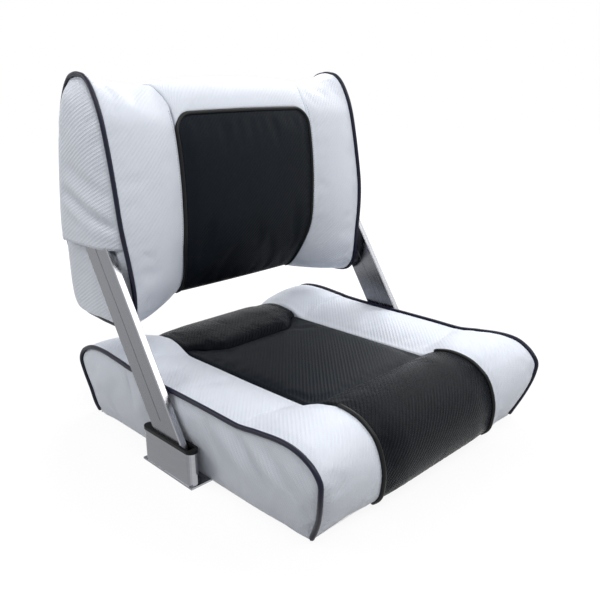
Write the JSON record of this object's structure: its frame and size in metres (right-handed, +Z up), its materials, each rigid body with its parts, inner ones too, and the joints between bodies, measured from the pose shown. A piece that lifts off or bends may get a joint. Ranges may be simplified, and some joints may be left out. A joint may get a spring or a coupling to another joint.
{
  "type": "flip-back helm seat",
  "caption": "Upholstered boat helm seat with side bolsters and a two-sided backrest on swinging arms that flips over the seat.",
  "frame": {"origin": "middle of the seat's footprint, on the seat's underside", "axes": "+Z up, -Y towards the seat's front, +X to the right as seen from the front; left and right in names are as seen from the front"},
  "size_m": [0.491, 0.4977, 0.4874],
  "materials": {
    "seat_board": "plain plywood",
    "seat_left_bolster": "white vinyl upholstery with a fine rib",
    "seat_right_bolster": "white vinyl upholstery with a fine rib",
    "seat_rear_roll": "black vinyl upholstery with a fine rib",
    "seat_centre_pad": "black vinyl upholstery with a fine rib",
    "seat_front_roll": "black vinyl upholstery with a fine rib",
    "seat_left_piping": "dark blue-black piping",
    "seat_left_front_welt": "black vinyl upholstery with a fine rib",
    "seat_right_piping": "dark blue-black piping",
    "seat_right_front_welt": "black vinyl upholstery with a fine rib",
    "left_bracket": "polished and brushed aluminium",
    "left_pocket_insert": "black moulded rim",
    "left_pivot_pin": "stainless steel",
    "left_foot_screw_1": "stainless steel",
    "left_foot_screw_2": "stainless steel",
    "right_bracket": "polished and brushed aluminium",
    "right_pocket_insert": "black moulded rim",
    "right_pivot_pin": "stainless steel",
    "right_foot_screw_1": "stainless steel",
    "right_foot_screw_2": "stainless steel",
    "left_arm": "polished and brushed aluminium",
    "left_arm_bush": "black nylon",
    "left_bar_screw": "stainless steel",
    "right_arm": "polished and brushed aluminium",
    "right_arm_bush": "black nylon",
    "right_bar_screw": "stainless steel",
    "cross_bar": "polished and brushed aluminium",
    "back_board": "plain plywood",
    "back_left_wing": "white vinyl upholstery with a fine rib",
    "back_left_flap": "white vinyl upholstery with a fine rib",
    "back_left_piping": "dark blue-black piping",
    "left_saddle": "stainless steel",
    "left_saddle_lower_screw": "stainless steel",
    "left_saddle_upper_screw": "stainless steel",
    "back_right_wing": "white vinyl upholstery with a fine rib",
    "back_right_flap": "white vinyl upholstery with a fine rib",
    "back_right_piping": "dark blue-black piping",
    "right_saddle": "stainless steel",
    "right_saddle_lower_screw": "stainless steel",
    "right_saddle_upper_screw": "stainless steel",
    "back_top_panel": "white vinyl upholstery with a fine rib",
    "back_front_panel": "black vinyl upholstery with a fine rib",
    "back_rear_panel": "black vinyl upholstery with a fine rib",
    "back_front_welt": "black vinyl upholstery with a fine rib",
    "back_rear_welt": "black vinyl upholstery with a fine rib"
  },
  "bodies": {
    "base": {"seat_board": "seat_board", "seat_left_bolster": "seat_left_bolster", "seat_right_bolster": "seat_right_bolster", "seat_rear_roll": "seat_rear_roll", "seat_centre_pad": "seat_centre_pad", "seat_front_roll": "seat_front_roll", "seat_left_piping": "seat_left_piping", "seat_left_front_welt": "seat_left_front_welt", "seat_right_piping": "seat_right_piping", "seat_right_front_welt": "seat_right_front_welt", "left_bracket": "left_bracket", "left_pocket_insert": "left_pocket_insert", "left_pivot_pin": "left_pivot_pin", "left_foot_screw_1": "left_foot_screw_1", "left_foot_screw_2": "left_foot_screw_2", "right_bracket": "right_bracket", "right_pocket_insert": "right_pocket_insert", "right_pivot_pin": "right_pivot_pin", "right_foot_screw_1": "right_foot_screw_1", "right_foot_screw_2": "right_foot_screw_2"},
    "arms": {"left_arm": "left_arm", "left_arm_bush": "left_arm_bush", "left_bar_screw": "left_bar_screw", "right_arm": "right_arm", "right_arm_bush": "right_arm_bush", "right_bar_screw": "right_bar_screw", "cross_bar": "cross_bar"},
    "backrest": {"back_board": "back_board", "back_left_wing": "back_left_wing", "back_left_flap": "back_left_flap", "back_left_piping": "back_left_piping", "left_saddle": "left_saddle", "left_saddle_lower_screw": "left_saddle_lower_screw", "left_saddle_upper_screw": "left_saddle_upper_screw", "back_right_wing": "back_right_wing", "back_right_flap": "back_right_flap", "back_right_piping": "back_right_piping", "right_saddle": "right_saddle", "right_saddle_lower_screw": "right_saddle_lower_screw", "right_saddle_upper_screw": "right_saddle_upper_screw", "back_top_panel": "back_top_panel", "back_front_panel": "back_front_panel", "back_rear_panel": "back_rear_panel", "back_front_welt": "back_front_welt", "back_rear_welt": "back_rear_welt"}
  },
  "joints": [
    {"name": "arm_swing", "type": "hinge", "parent": "base", "child": "arms", "pos_m": [0, -0.0065, 0.038], "axis": [1, 0, 0], "range_deg": [0, 63]},
    {"name": "backrest_tilt", "type": "hinge", "parent": "arms", "child": "backrest", "pos_m": [0, 0.16553, 0.31503], "axis": [1, 0, 0], "range_deg": [-63, 0]}
  ]
}
